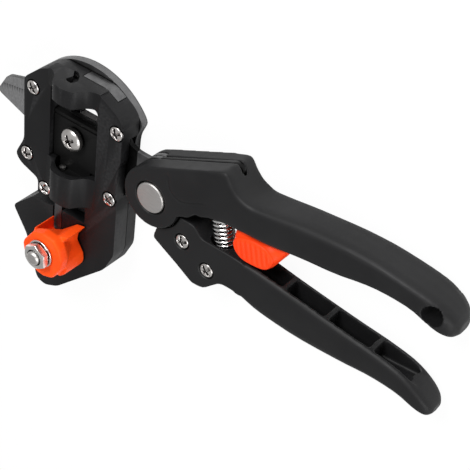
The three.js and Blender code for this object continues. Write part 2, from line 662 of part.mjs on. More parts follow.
// The upper handle
function upperHandle() {
  const size = handleLength;
  const at = ([u, v]) => [u * size, v * size];
  const frontShares = [
    [-0.041, 0.09], [0.234, 0.217], [0.247, 0.222], [0.258, 0.212], [0.276, 0.184], [0.3, 0.163], [0.335, 0.152],
    [0.335, 0.045],
    [0.211, 0.034], [0.166, 0.025], [0.136, -0.012], [0.086, -0.016], [0, -0.016],
  ];
  const gripShares = [
    [0.28, 0.042, 0.166, 1, 9], [0.33, 0.045, 0.154, 1, 8], [0.4, 0.048, 0.164, 1, 5.5], [0.5, 0.061, 0.182, 1, 4],
    [0.62, 0.076, 0.193, 1, 4], [0.72, 0.098, 0.195, 1, 4], [0.79, 0.105, 0.19, 1, 4], [0.86, 0.102, 0.182, 1, 4],
    [0.91, 0.085, 0.174, 0.98, 4], [0.95, 0.071, 0.16, 0.92, 3.5], [0.98, 0.07, 0.14, 0.75, 3],
    [0.996, 0.084, 0.117, 0.4, 3],
  ];
  const front = slab(roundedShape(frontShares.map(at), bossRadius / 8), 0, handleFront);
  const grip = loft(gripShares, size, handleMiddle, handleMiddle);
  const boss = post([0, 0], bossRadius, 0, handleFront, 48);
  const plateRoom = post([0, 0], bossRadius + runningGap, rearCheek, cheekBack, 48);
  const tangRoomShares = [[-0.6, 1.2], [1.02, 1.2], [1.02, 0.5], [0.35, 0.07], [0, -0.16]];
  const tangRoom = slab(roundedShape(tangRoomShares.map(([u, v]) => [u * tangReach, v * tangReach]), bossRadius / 8),
    frameBack - runningGap, cheekBack);
  const shaftRoom = post([0, 0], rivetShaft + runningGap, -overrun, handleFront + overrun);
  const rivetRoom = rivetRadius + 2 * runningGap;
  const rivetRear = post([0, 0], rivetRoom, -overrun, rivetHeadThickness + runningGap);
  const rivetFront = post([0, 0], rivetRoom, handleFront - rivetHeadThickness, handleFront + overrun);
  const panelShares = [[0.058, 0.096], [0.066, 0.058], [0.093, 0.041], [0.23, 0.05], [0.23, 0.1]];
  const panel = slab(roundedShape(panelShares.map(at), bossRadius / 6), handleFront - panelDepth, handleFront + overrun);
  const hole = post(at([0.926, 0.128]), hangHole, -overrun, handleFront + overrun);
  const pocket = springPocket(-springWire, springLength / 2);
  const body = join(front, grip, boss);
  return node('upper_handle', cut(body, plateRoom, tangRoom, shaftRoom, rivetRear, rivetFront, panel, hole, pocket, lockSlot()),
    blackPlastic());
}

// The lower handle
function lowerHandle() {
  const size = lowerLength;
  const at = ([u, v]) => [u * size, v * size];
  const frontShares = [
    [0.03, -0.06], [0.1, -0.024], [0.157, -0.026], [0.186, -0.057], [0.283, -0.057], [0.345, -0.06], [0.345, -0.185],
    [0.312, -0.175], [0.27, -0.178], [0.246, -0.199], [0.213, -0.231], [0.17, -0.237], [0.108, -0.201],
    [0.009, -0.149], [0.02, -0.11],
  ];
  const gripShares = [
    [0.3, -0.172, -0.06, 1, 9], [0.35, -0.187, -0.061, 1, 8], [0.42, -0.211, -0.066, 1, 5], [0.55, -0.224, -0.08, 1, 4],
    [0.7, -0.216, -0.099, 1, 4], [0.8, -0.206, -0.11, 1, 4], [0.89, -0.209, -0.127, 1, 4],
    [0.95, -0.226, -0.156, 0.96, 4], [0.985, -0.232, -0.182, 0.8, 3.5], [1, -0.222, -0.2, 0.45, 3],
  ];
  const front = slab(roundedShape(frontShares.map(at), bossRadius / 8), lowerRise, lowerFront);
  const grip = loft(gripShares, size, (lowerRise + lowerFront) / 2, lowerThickness / 2);
  const notch = post([0, 0], bossRadius + 2 * runningGap, -overrun, handleFront + overrun, 48);
  const holes = join(...handleScrews.map((place) => join(
    post(place, screwHole, leverBack - rearCheek / 2, lowerFront + overrun, 16),
    post(place, screwHead + 2 * runningGap, lowerFront - screwHeadThickness, lowerFront + overrun, 20),
  )));
  const pocket = springPocket(springLength / 2, springLength + springWire);
  const body = cut(join(front, grip), gripChannel(at), notch, leverTang(runningGap), holes, pocket);
  return node('lower_handle', body, blackPlastic());
}

// The channel along the inner side of the lower handle, with cross ribs left standing
function gripChannel(at) {
  const channelShares = [
    [0.33, 0], [0.93, 0], [0.93, -0.165], [0.84, -0.172], [0.71, -0.178], [0.55, -0.188], [0.42, -0.184], [0.33, -0.16],
  ];
  const channel = slab(roundedShape(channelShares.map(at), lowerWall), lowerRise + lowerWall, lowerFront - lowerWall);
  const ribShares = [0.485, 0.635, 0.785];
  const ribs = ribShares.map((share) => block([share * lowerLength, -lowerLength, 0],
    [share * lowerLength + ribThickness, 0, lowerFront]));
  return cut(channel, ...ribs);
}

// Screws that hold the lower handle on its plate
function handleScrew(place, index) {
  const bearing = lowerFront - screwHeadThickness + runningGap;
  return node(`handle_screw_${index + 1}`, crossScrew(place, screwHead, screwShaft, bearing, leverBack - runningGap),
    brightSteel());
}

function coverScrew(place, index) {
  const bearing = headFront - screwHeadThickness / 2 + runningGap;
  return node(`cover_screw_${index + 1}`, crossScrew(place, screwHead, screwShaft, bearing, screwEnd), brightSteel());
}

// The lock slides under the upper handle, along the handle's lower edge
const lockX = handleLength * 0.3;
const lockTopY = handleLength * 0.0405;
const lockTurn = ([x, y]) => {
  const turned = new THREE.Vector2(x, y).rotateAround(new THREE.Vector2(0, 0), THREE.MathUtils.degToRad(lockSlope));
  return [lockX + turned.x, lockTopY + turned.y];
};

function lockSlot() {
  const start = lockLength * 0.3 - lockTravel - runningGap;
  const end = lockLength * 0.3 + lockStem + runningGap;
  const points = [[start, -lockHeight], [end, -lockHeight], [end, lockStem * 0.6], [start, lockStem * 0.6]];
  const half = lockStemThickness / 2 + runningGap;
  return slab(new THREE.Shape(points.map((point) => new THREE.Vector2(...lockTurn(point)))), handleMiddle - half, handleMiddle + half);
}

function lockSlider() {
  const bodyShares = [[0, 0], [-0.05, -0.35], [0.1, -0.75], [0.4, -1], [0.75, -0.95], [0.92, -0.55], [1, 0]];
  const shape = roundedShape(bodyShares.map(([u, v]) => lockTurn([u * lockLength, v * lockHeight])), lockHeight / 6);
  const half = lockThickness / 2;
  const body = slab(shape, handleMiddle - half, handleMiddle + half);
  const start = lockLength * 0.3;
  const stemPoints = [[start, -lockHeight / 2], [start + lockStem, -lockHeight / 2], [start + lockStem, lockStem / 2],
    [start, lockStem / 2]];
  const stemHalf = lockStemThickness / 2;
  const stem = slab(new THREE.Shape(stemPoints.map((point) => new THREE.Vector2(...lockTurn(point)))),
    handleMiddle - stemHalf, handleMiddle + stemHalf);
  return node('lock_slider', join(body, stem), orangePlastic());
}

const group = new THREE.Group();
group.add(
  frontCover(), rearCover(), rearDisc(), framePlate(), upperHandle(), lowerHandle(), leverPlate(), crankPin(),
  pivotRivet(), pivotBush(), bladeCarriage(), graftingBlade(), bladeScrew(), setScrew(),
  anvil(), anvilBolt(), anvilWasher(), anvilNut(), returnSpring(), lockSlider(),
  ...coverScrews.map(coverScrew), ...handleScrews.map(handleScrew),
);
export default group;
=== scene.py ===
import math

import bmesh
import bpy
from mathutils import Matrix, Vector


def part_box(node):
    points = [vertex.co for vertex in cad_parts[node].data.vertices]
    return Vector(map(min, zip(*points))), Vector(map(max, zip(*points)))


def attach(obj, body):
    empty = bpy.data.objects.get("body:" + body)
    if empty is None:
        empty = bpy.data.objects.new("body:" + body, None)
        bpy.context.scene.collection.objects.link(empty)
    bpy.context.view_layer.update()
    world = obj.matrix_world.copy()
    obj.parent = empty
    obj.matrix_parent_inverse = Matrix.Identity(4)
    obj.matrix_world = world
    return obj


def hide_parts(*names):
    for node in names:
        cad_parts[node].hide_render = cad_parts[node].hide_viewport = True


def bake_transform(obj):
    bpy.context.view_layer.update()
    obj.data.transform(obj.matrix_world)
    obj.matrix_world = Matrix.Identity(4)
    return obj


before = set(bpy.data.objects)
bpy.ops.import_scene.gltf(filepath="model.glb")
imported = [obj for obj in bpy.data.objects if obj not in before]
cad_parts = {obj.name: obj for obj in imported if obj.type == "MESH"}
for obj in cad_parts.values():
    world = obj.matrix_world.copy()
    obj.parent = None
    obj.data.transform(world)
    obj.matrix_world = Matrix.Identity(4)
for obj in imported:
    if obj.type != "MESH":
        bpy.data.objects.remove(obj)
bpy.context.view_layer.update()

# Grafting pruner, dressed for the photograph's view. Metres, in the model's own frame.
# The tool's lengths are metres where they are written with MM, and millimetres where they are not.
MM = 0.001
FULL_TURN = 2 * math.pi

# The handles' thickness, and the level midway through them, in millimetres
handle_thick = 16.5
handle_middle = handle_thick / 2


# Camera at the photograph's place
camera_place = Vector((251.3, 315.7, 343.9)) * MM
camera_right = Vector((0.7867, 0.1047, -0.6084))
camera_up = Vector((-0.4478, 0.7752, -0.4455))
camera_back = Vector((0.4250, 0.6229, 0.6567))
camera_angle = 19.06
nearest_seen = 10 * MM
farthest_seen = 20


def make_camera():
    data = bpy.data.cameras.new("camera")
    data.angle = math.radians(camera_angle)
    data.clip_start = nearest_seen
    data.clip_end = farthest_seen
    camera = bpy.data.objects.new("camera", data)
    bpy.context.scene.collection.objects.link(camera)
    turned = Matrix((camera_right, camera_up, camera_back)).transposed().to_4x4()
    camera.matrix_world = Matrix.Translation(camera_place) @ turned
    bpy.context.scene.camera = camera


# Lamps: a key above the head's upper side, and a fill beyond the handles' ends
key_place = Vector((-0.1, 1.0, 0.9))
key_target = Vector((-0.02, 0, 0.01))
key_size = 0.6
key_power = 17
fill_place = Vector((0.9, -0.2, 0.8))
fill_target = Vector((0, 0, 0.01))
fill_size = 0.8
fill_power = 8


def make_lamp(name, place, target, size, power):
    data = bpy.data.lights.new(name, "AREA")
    data.shape = "DISK"
    data.size = size
    data.energy = power
    lamp = bpy.data.objects.new(name, data)
    bpy.context.scene.collection.objects.link(lamp)
    lamp.location = place
    lamp.rotation_euler = (target - place).to_track_quat("-Z", "Y").to_euler()


# A share for what is seen straight from the camera or through glass, and 0 for all other light
def seen_share(nodes, links, share):
    path = nodes.new("ShaderNodeLightPath")
    seen = nodes.new("ShaderNodeMath")
    seen.operation = "MAXIMUM"
    links.new(path.outputs["Is Camera Ray"], seen.inputs[0])
    links.new(path.outputs["Is Transmission Ray"], seen.inputs[1])
    scaled = nodes.new("ShaderNodeMath")
    scaled.operation = "MULTIPLY"
    scaled.inputs[1].default_value = share
    links.new(seen.outputs[0], scaled.inputs[0])
    return scaled.outputs[0]


# Floor just under the tool, nearly plain white to the camera
floor_half = 4
floor_drop = 0.3 * MM
floor_white = 0.93
floor_rough = 0.9
floor_plain_share = 0.95


def make_floor():
    mesh = bpy.data.meshes.new("floor")
    corners = [(floor_half * x, floor_half * y, 0) for x, y in [(-1, -1), (1, -1), (1, 1), (-1, 1)]]
    mesh.from_pydata(corners, [], [(0, 1, 2, 3)])
    floor = bpy.data.objects.new("floor", mesh)
    floor.location.z = -floor_drop
    bpy.context.scene.collection.objects.link(floor)
    material = bpy.data.materials.new("floor_white")
    material.use_nodes = True
    nodes = material.node_tree.nodes
    links = material.node_tree.links
    shader = nodes["Principled BSDF"]
    shader.inputs["Base Color"].default_value = (floor_white, floor_white, floor_white, 1)
    shader.inputs["Roughness"].default_value = floor_rough
    white = nodes.new("ShaderNodeEmission")
    mix = nodes.new("ShaderNodeMixShader")
    links.new(seen_share(nodes, links, floor_plain_share), mix.inputs[0])
    links.new(shader.outputs[0], mix.inputs[1])
    links.new(white.outputs[0], mix.inputs[2])
    links.new(mix.outputs[0], nodes["Material Output"].inputs["Surface"])
    mesh.materials.append(material)


# World: plain white to the camera, and a soft grey light on the tool
plain_white = (1, 1, 1, 1)
world_light = 0.42


def make_world():
    world = bpy.data.worlds.new("studio")
    bpy.context.scene.world = world
    world.use_nodes = True
    nodes = world.node_tree.nodes
    links = world.node_tree.links
    plain = nodes["Background"]
    plain.inputs["Color"].default_value = plain_white
    plain.inputs["Strength"].default_value = world_light
    seen = nodes.new("ShaderNodeBackground")
    seen.inputs["Color"].default_value = plain_white
    seen.inputs["Strength"].default_value = 1
    mix = nodes.new("ShaderNodeMixShader")
    links.new(seen_share(nodes, links, 1), mix.inputs[0])
    links.new(plain.outputs[0], mix.inputs[1])
    links.new(seen.outputs[0], mix.inputs[2])
    links.new(mix.outputs[0], nodes["World Output"].inputs["Surface"])


# Material parts
def material_base(name, colour, roughness, metallic):
    material = bpy.data.materials.new(name)
    material.use_nodes = True
    shader = material.node_tree.nodes["Principled BSDF"]
    shader.inputs["Base Color"].default_value = (*colour, 1)
    shader.inputs["Roughness"].default_value = roughness
    shader.inputs["Metallic"].default_value = metallic
    return material, shader, material.node_tree


def grey(level):
    return (level, level, level)


def noise(tree, scale, detail=4, stretch=(1, 1, 1)):
    place = tree.nodes.new("ShaderNodeTexCoord")
    mapping = tree.nodes.new("ShaderNodeMapping")
    mapping.inputs["Scale"].default_value = stretch
    texture = tree.nodes.new("ShaderNodeTexNoise")
    texture.inputs["Scale"].default_value = scale
    texture.inputs["Detail"].default_value = detail
    tree.links.new(place.outputs["Object"], mapping.inputs["Vector"])
    tree.links.new(mapping.outputs["Vector"], texture.inputs["Vector"])
    return texture.outputs["Fac"]


def ramp(tree, value, low, high, start=0.3, end=0.7):
    made = tree.nodes.new("ShaderNodeValToRGB")
    made.color_ramp.elements[0].position = start
    made.color_ramp.elements[0].color = (*low, 1)
    made.color_ramp.elements[1].position = end
    made.color_ramp.elements[1].color = (*high, 1)
    tree.links.new(value, made.inputs["Fac"])
    return made.outputs["Color"]


def spread(tree, value, low, high):
    made = tree.nodes.new("ShaderNodeMapRange")
    made.inputs["To Min"].default_value = low
    made.inputs["To Max"].default_value = high
    tree.links.new(value, made.inputs["Value"])
    return made.outputs["Result"]


def narrowed(tree, value, low, high):
    made = tree.nodes.new("ShaderNodeMapRange")
    made.inputs["From Min"].default_value = low
    made.inputs["From Max"].default_value = high
    tree.links.new(value, made.inputs["Value"])
    return made.outputs["Result"]


def bump(tree, shader, height, strength, distance):
    made = tree.nodes.new("ShaderNodeBump")
    made.inputs["Strength"].default_value = strength
    made.inputs["Distance"].default_value = distance
    tree.links.new(height, made.inputs["Height"])
    tree.links.new(made.outputs["Normal"], shader.inputs["Normal"])


def blended(tree, share, first, second):
    made = tree.nodes.new("ShaderNodeMix")
    made.data_type = "RGBA"
    tree.links.new(share, made.inputs["Factor"])
    tree.links.new(first, made.inputs["A"])
    tree.links.new(second, made.inputs["B"])
    return made.outputs["Result"]


# The result of a sum, where each of the two values is a number or another node's output
def worked_out(tree, operation, first, second):
    made = tree.nodes.new("ShaderNodeMath")
    made.operation = operation
    for socket, value in zip(made.inputs, (first, second)):
        if isinstance(value, (int, float)):
            socket.default_value = value
        else:
            tree.links.new(value, socket)
    return made.outputs[0]


# One axis of a point's place, or of the way its face looks
def axis(tree, output, letter):
    place = tree.nodes.new("ShaderNodeTexCoord")
    axes = tree.nodes.new("ShaderNodeSeparateXYZ")
    tree.links.new(place.outputs[output], axes.inputs[0])
    return axes.outputs[letter]


# Shade in recesses: 0 deep in a recess, 1 on an open face
shade_samples = 8


def openness(tree, reach, closed, opened):
    made = tree.nodes.new("ShaderNodeAmbientOcclusion")
    made.inputs["Distance"].default_value = reach
    made.samples = shade_samples
    return narrowed(tree, made.outputs["AO"], closed, opened)


# Rubbed, slightly lighter edges: 1 on a sharp edge
def edge_wear(tree, low, high):
    made = tree.nodes.new("ShaderNodeNewGeometry")
    return narrowed(tree, made.outputs["Pointiness"], low, high)


# Moulded plastic: cloudy colour, a fine grain, paler where it is rubbed, and painted shade darkening it in
# recesses
cloud_scale = 60
cloud_detail = 3
rubbed_scale = 900
rubbed_start = 0.52
rubbed_end = 0.58
plastic_reach = 1.3 * MM
plastic_closed = 0.45
plastic_open = 0.85
sheen_scale = 240
sheen_detail = 5
fine_grain = 2600
soft_grain = 3400
grain_detail = 2
grain_strength = 0.22
grain_height = 0.05 * MM


def moulded_plastic(name, dark, light, rough, level, grain=fine_grain, worn=None, recess_shade=None):
    material, shader, tree = material_base(name, dark, rough[0], 0)
    shader.inputs["Specular IOR Level"].default_value = level
    colour = ramp(tree, noise(tree, cloud_scale, cloud_detail), dark, light)
    if worn:
        pale = ramp(tree, noise(tree, rubbed_scale), light, worn)
        colour = blended(tree, edge_wear(tree, rubbed_start, rubbed_end), colour, pale)
    # Painted shade: the colour turns near black in recesses, where shade falls
    if recess_shade:
        recess_shade_tone = ramp(tree, noise(tree, cloud_scale, cloud_detail), recess_shade, recess_shade)
        open_share = openness(tree, plastic_reach, plastic_closed, plastic_open)
        colour = blended(tree, open_share, recess_shade_tone, colour)
    tree.links.new(colour, shader.inputs["Base Color"])
    roughness = spread(tree, noise(tree, sheen_scale, sheen_detail), *rough)
    tree.links.new(roughness, shader.inputs["Roughness"])
    bump(tree, shader, noise(tree, grain, grain_detail), grain_strength, grain_height)
    return material


# Steel: a grain that runs one way where it is stretched, with painted shade darkening it in recesses
steel_detail = 6
steel_start = 0.2
steel_end = 0.8
steel_strength = 0.06
steel_height = 0.02 * MM
small_reach = 1.2 * MM


def steel(name, dark, light, rough, stretch=(1, 1, 1), scale=260, steel_recess_shade=None, reach=small_reach,
          closed=0.35, opened=0.75):
    material, shader, tree = material_base(name, light, rough[0], 1)
    grain = noise(tree, scale, steel_detail, stretch)
    colour = ramp(tree, grain, dark, light, steel_start, steel_end)
    # Painted shade: the colour goes dark in recesses, slots and gaps, where shade falls
    if steel_recess_shade:
        black = ramp(tree, grain, steel_recess_shade, steel_recess_shade)
        colour = blended(tree, openness(tree, reach, closed, opened), black, colour)
    tree.links.new(colour, shader.inputs["Base Color"])
    tree.links.new(spread(tree, grain, *rough), shader.inputs["Roughness"])
    bump(tree, shader, grain, steel_strength, steel_height)
    return material


# The tongue's teeth: where their root line starts, and how it climbs along the plate
tooth_start = -82 * MM
tooth_level = 7.8 * MM
tooth_slope = 0.17
tooth_length = 2.4 * MM
tooth_pitch = 1.35 * MM


# Each tooth is dark at its root line and fades down the face
def tooth_marks(tree, along, up):
    root = worked_out(tree, "MULTIPLY", worked_out(tree, "SUBTRACT", along, tooth_start), tooth_slope)
    below = worked_out(tree, "SUBTRACT", worked_out(tree, "ADD", root, tooth_level), up)
    share = worked_out(tree, "DIVIDE", below, tooth_length)
    fade = worked_out(tree, "SUBTRACT", 1, share)
    under = worked_out(tree, "GREATER_THAN", share, 0)
    turn = worked_out(tree, "PINGPONG", along, tooth_pitch / 2)
    narrow = worked_out(tree, "DIVIDE", turn, tooth_pitch / 2)
    mark = worked_out(tree, "MULTIPLY", worked_out(tree, "MAXIMUM", fade, 0), under)
    return worked_out(tree, "MULTIPLY", mark, narrow)


# Ground steel of the tongue, with its teeth, and dark on the edges that look up the head
ground_scale = 900
ground_detail = 5
ground_stretch = (6, 1, 1)
edge_turn = 0.5


def ground_steel(tree, along, fine):
    grain = noise(tree, ground_scale, ground_detail, ground_stretch)
    face = ramp(tree, grain, grey(0.28), (0.52, 0.52, 0.53))
    tooth = ramp(tree, fine, grey(0.03), grey(0.05))
    edge = ramp(tree, fine, grey(0.05), grey(0.09))
    face = blended(tree, tooth_marks(tree, along, axis(tree, "Object", "Y")), face, tooth)
    on_edge = worked_out(tree, "GREATER_THAN", axis(tree, "Normal", "Y"), edge_turn)
    return blended(tree, on_edge, face, edge)


# Dark coating of the frame plate, with painted shade on its lip that grows paler along it
plate_scale = 300
lip_level = 9 * MM
lip_start = -44 * MM
lip_length = 14 * MM
lip_shade = grey(0.012)
lip_pale = (0.085, 0.085, 0.086)


def plate_coating(tree, along, fine):
    coating = ramp(tree, fine, (0.10, 0.10, 0.102), (0.16, 0.16, 0.162))
    on_lip = worked_out(tree, "GREATER_THAN", axis(tree, "Object", "Z"), lip_level)
    reach = worked_out(tree, "DIVIDE", worked_out(tree, "SUBTRACT", along, lip_start), lip_length)
    # Painted shade: the lip is darkest at its start and paler further along
    return blended(tree, on_lip, coating, ramp(tree, reach, lip_shade, lip_pale, 0, 1))


# The frame plate: coated on the head, black in the neck and the handle, ground on the tongue
tongue_root = -66.5 * MM
neck_start = -24 * MM
neck_end = -13.8 * MM
tang_root = -3 * MM
scratch_scale = 420
scratch_waver = 1.5
scratch_strength = 0.25
scratch_height = 0.06 * MM


def make_plate_steel():
    material, shader, tree = material_base("plate_steel", (0.06, 0.06, 0.062), 0.4, 1)
    along = axis(tree, "Object", "X")
    fine = noise(tree, plate_scale)
    black = ramp(tree, fine, grey(0.010), grey(0.016))
    in_handle = worked_out(tree, "GREATER_THAN", along, tang_root)
    past_neck = worked_out(tree, "GREATER_THAN", along, neck_start)
    before_end = worked_out(tree, "LESS_THAN", along, neck_end)
    in_neck = worked_out(tree, "MULTIPLY", past_neck, before_end)
    is_black = worked_out(tree, "MAXIMUM", in_handle, in_neck)
    on_tongue = worked_out(tree, "LESS_THAN", along, tongue_root)
    colour = blended(tree, is_black, plate_coating(tree, along, fine), black)
    colour = blended(tree, on_tongue, colour, ground_steel(tree, along, fine))
    tree.links.new(colour, shader.inputs["Base Color"])
    place = tree.nodes.new("ShaderNodeTexCoord")
    scratches = tree.nodes.new("ShaderNodeTexWave")
    scratches.inputs["Scale"].default_value = scratch_scale
    scratches.inputs["Distortion"].default_value = scratch_waver
    tree.links.new(place.outputs["Object"], scratches.inputs["Vector"])
    bump(tree, shader, scratches.outputs["Fac"], scratch_strength, scratch_height)
    return material


# How far the shade of a recess reaches on the coated steel and on the screws
coated_reach = 1.5 * MM
screw_reach = 1.8 * MM

# Black plastics: firm on the head, softer on the handles, darkest on the carriage, where the dark is
# painted shade of the barrel's cup
# The near black of the painted shade in the black plastics' recesses
recess_shade_black = grey(0.001)
black_plastic = moulded_plastic(
    "black_plastic", dark=(0.005, 0.005, 0.0055), light=(0.0075, 0.0075, 0.008), rough=(0.42, 0.55),
    level=0.2, worn=(0.02, 0.02, 0.021), recess_shade=recess_shade_black)
soft_black = moulded_plastic(
    "soft_black", dark=(0.006, 0.006, 0.0065), light=(0.009, 0.009, 0.0095), rough=(0.46, 0.6),
    level=0.26, grain=soft_grain, recess_shade=recess_shade_black)
# Painted shade: the carriage is coloured darker than the other black plastics, for the shade deep in the
# barrel
carriage_shade_plastic = moulded_plastic(
    "carriage_shade_plastic", dark=grey(0.003), light=grey(0.005), rough=(0.5, 0.6), level=0.14)

# Orange plastics of the anvil and the lock
orange_plastic = moulded_plastic(
    "orange_plastic", dark=(0.98, 0.068, 0.005), light=(1.0, 0.088, 0.008), rough=(0.42, 0.52), level=0.12)
lock_plastic = moulded_plastic(
    "lock_plastic", dark=(0.88, 0.042, 0.005), light=(0.96, 0.056, 0.007), rough=(0.42, 0.52), level=0.14)

# Dark steels of the disc, the plates and the blade
coated_steel = steel(
    "coated_steel", dark=(0.13, 0.13, 0.132), light=(0.19, 0.19, 0.192), rough=(0.35, 0.5),
    steel_recess_shade=grey(0.008), reach=coated_reach, closed=0.45, opened=0.8)
plate_steel = make_plate_steel()
blade_steel = steel(
    "blade_steel", dark=(0.10, 0.10, 0.105), light=(0.18, 0.18, 0.185), rough=(0.34, 0.46),
    stretch=(6, 1, 1), scale=300)

# Bright steels of the disc's sill, with painted light, and of the screws, the rivet and bolt, the nut and
# the spring
sill_lit_steel = steel(
    "sill_lit_steel", dark=(0.55, 0.53, 0.53), light=(0.75, 0.73, 0.73), rough=(0.5, 0.6))
screw_steel = steel(
    "screw_steel", dark=(0.62, 0.59, 0.57), light=(0.86, 0.83, 0.80), rough=(0.2, 0.36),
    steel_recess_shade=(0.012, 0.008, 0.008), reach=screw_reach, closed=0.55, opened=0.85)
bright_steel = steel(
    "bright_steel", dark=(0.62, 0.60, 0.58), light=(0.86, 0.84, 0.82), rough=(0.2, 0.34),
    steel_recess_shade=(0.03, 0.027, 0.025))
brushed_steel = steel(
    "brushed_steel", dark=(0.50, 0.48, 0.47), light=(0.66, 0.64, 0.62), rough=(0.36, 0.5),
    stretch=(1, 14, 1), scale=300)
spring_steel = steel(
    "spring_steel", dark=(0.78, 0.77, 0.76), light=(0.95, 0.94, 0.93), rough=(0.12, 0.2),
    steel_recess_shade=(0.05, 0.045, 0.04))


# The rounding of the pieces' edges
cover_edge = 0.55 * MM
layer_edge = 0.5 * MM
block_edge = 0.3 * MM
plate_edge = 0.25 * MM
thin_edge = 0.2 * MM
fine_steps = 3


# Piece parts
same_point = 0.002 * MM
flat_turn = math.radians(0.5)
sharp_turn = math.radians(32)
even_factor = 0.5


def new_piece(name, mesh, material, body, node):
    mesh.materials.clear()
    mesh.materials.append(material)
    piece = bpy.data.objects.new(name, mesh)
    bpy.context.scene.collection.objects.link(piece)
    mesh.shade_smooth()
    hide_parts(node)
    if body:
        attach(piece, body)
    return piece


# A copy of a node's mesh with its flat faces merged
def merged_copy(name):
    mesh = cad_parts[name].data.copy()
    mesh.name = f"{name}_finish"
    shape = bmesh.new()
    shape.from_mesh(mesh)
    bmesh.ops.remove_doubles(shape, verts=shape.verts, dist=same_point)
    bmesh.ops.dissolve_limit(shape, angle_limit=flat_turn, verts=shape.verts, edges=shape.edges)
    shape.to_mesh(mesh)
    shape.free()
    return mesh


def round_edges(piece, width, steps, turn):
    soften = piece.modifiers.new("soften", "BEVEL")
    soften.width = width
    soften.segments = steps
    soften.limit_method = "ANGLE"
    soften.angle_limit = turn
    soften.harden_normals = True


def smooth_points(piece, name, rounds):
    smooth = piece.modifiers.new(name, "SMOOTH")
    smooth.factor = even_factor
    smooth.iterations = rounds
    return smooth


# A closed prism through rows of points, each row with as many points as the next
def add_prism(shape, rows):
    made = [[shape.verts.new(point) for point in row] for row in rows]
    shape.faces.new(reversed(made[0]))
    shape.faces.new(made[-1])
    for lower, upper in zip(made, made[1:]):
        for index in range(len(lower)):
            after = (index + 1) % len(lower)
            shape.faces.new((lower[index], lower[after], upper[after], upper[index]))


# A finished copy of a node with rounded edges
def finished(name, body, material, width, steps=2):
    piece = new_piece(f"{name}_finish", merged_copy(name), material, body, name)
    round_edges(piece, width, steps, sharp_turn)
    return piece


# The mesh that an object shows once its modifiers are worked out
def worked_mesh(piece):
    seen = piece.evaluated_get(bpy.context.evaluated_depsgraph_get())
    return bpy.data.meshes.new_from_object(seen)


# A mesh remade in small even faces
def even_mesh(mesh, cell):
    holder = bpy.data.objects.new("holder", mesh)
    bpy.context.scene.collection.objects.link(holder)
    remesh = holder.modifiers.new("even", "REMESH")
    remesh.mode = "VOXEL"
    remesh.voxel_size = cell
    made = worked_mesh(holder)
    made.name = mesh.name
    bpy.data.objects.remove(holder)
    return made


# Each point of a mesh moved by a rule that works in millimetres
def reshape(mesh, rule):
    for vertex in mesh.vertices:
        vertex.co = rule(vertex.co / MM) * MM


# A finished copy of a node, reshaped, remade in even faces and smoothed like a moulding
handle_cell = 0.46 * MM
handle_rounds = 5


def moulded(name, body, material, before, after=None):
    mesh = merged_copy(name)
    reshape(mesh, before)
    mesh = even_mesh(mesh, handle_cell)
    if after:
        reshape(mesh, after)
    piece = new_piece(f"{name}_finish", mesh, material, body, name)
    smooth_points(piece, "smooth", handle_rounds)
    return piece


# An amount read off a table of places and amounts, on a straight line between two of them
def between(value, table):
    for (x0, y0), (x1, y1) in zip(table, table[1:]):
        if value <= x1:
            return y0 + (y1 - y0) * max(value - x0, 0) / (x1 - x0)
    return table[-1][1]


def limited(value):
    return min(max(value, 0), 1)


# The side of the handles' middle plane that a level is on, and its depth under that side's face
def side_and_depth(level):
    side = 1 if level > handle_middle else -1
    return side, handle_middle - abs(level - handle_middle)


# The upper handle's hanging hole drawn in a little, so that its wall stays whole
hole_middle = Vector((119.45, 16.5))
hole_reach = 4.6
hole_shift = Vector((-0.2, -0.35))
hole_scale = 0.92
rim_scale = 0.5


def draw_in_hole(point):
    away = point.xy - hole_middle
    if away.length > hole_reach:
        return point
    inner = hole_middle + hole_shift + away * hole_scale
    side, depth = side_and_depth(point.z)
    return Vector((inner.x, inner.y, handle_middle + side * (handle_middle - depth * rim_scale)))


# The upper handle's slot brought closer to the tang
slot_start = 2
slot_end = 36
slot_floor = 14
slot_level = 7.3
slot_reach = 1.4
slot_scale = 0.86


def close_slot(point):
    along = slot_start < point.x < slot_end and point.y > slot_floor
    if not along or abs(point.z - slot_level) >= slot_reach:
        return point
    return Vector((point.x, point.y, slot_level + (point.z - slot_level) * slot_scale))


# The solid's sunk side panel filled up to the upper handle's face
sunk_left = 7
sunk_right = 30.5
sunk_bottom = 4.5
sunk_top = 13.2
sunk_level = 16
level_slack = 0.1


def fill_panel(point):
    inside = sunk_left < point.x < sunk_right and sunk_bottom < point.y < sunk_top
    if not inside or abs(point.z - sunk_level) >= level_slack:
        return point
    return Vector((point.x, point.y, handle_thick))


# The upper handle's lower edge lifted beside the boss
lift_left = 15
lift_right = 23.5
lift_bottom = -2
lift_top = 4
edge_lift = [(18.6, 1.5), (21.2, 0.9), (lift_right, 0)]


def lift_edge(point):
    if not (lift_left < point.x < lift_right and lift_bottom < point.y < lift_top):
        return point
    return Vector((point.x, point.y + between(point.x, edge_lift), point.z))


def prepare_upper(point):
    return lift_edge(fill_panel(close_slot(draw_in_hole(point))))


# How far inside the handle's raised panel a place lies, with 0 on the panel's lower and left edge
panel_edge = [(7.4, 14), (7.4, 12.7), (7.8, 10.5), (8.5, 8.6), (10.6, 6.7), (13.6, 5.8), (16.5, 6.5),
              (23.2, 9.8), (30, 13.2)]


def inside_panel(x, y):
    place = Vector((x, y))
    nearest = None
    for start, end in zip(panel_edge, panel_edge[1:]):
        run = Vector(end) - Vector(start)
        share = limited((place - Vector(start)).dot(run) / run.length_squared)
        away = place - Vector(start) - run * share
        side = run.x * away.y - run.y * away.x
        if nearest is None or away.length < abs(nearest):
            nearest = away.length if side > 0 else -away.length
    return nearest


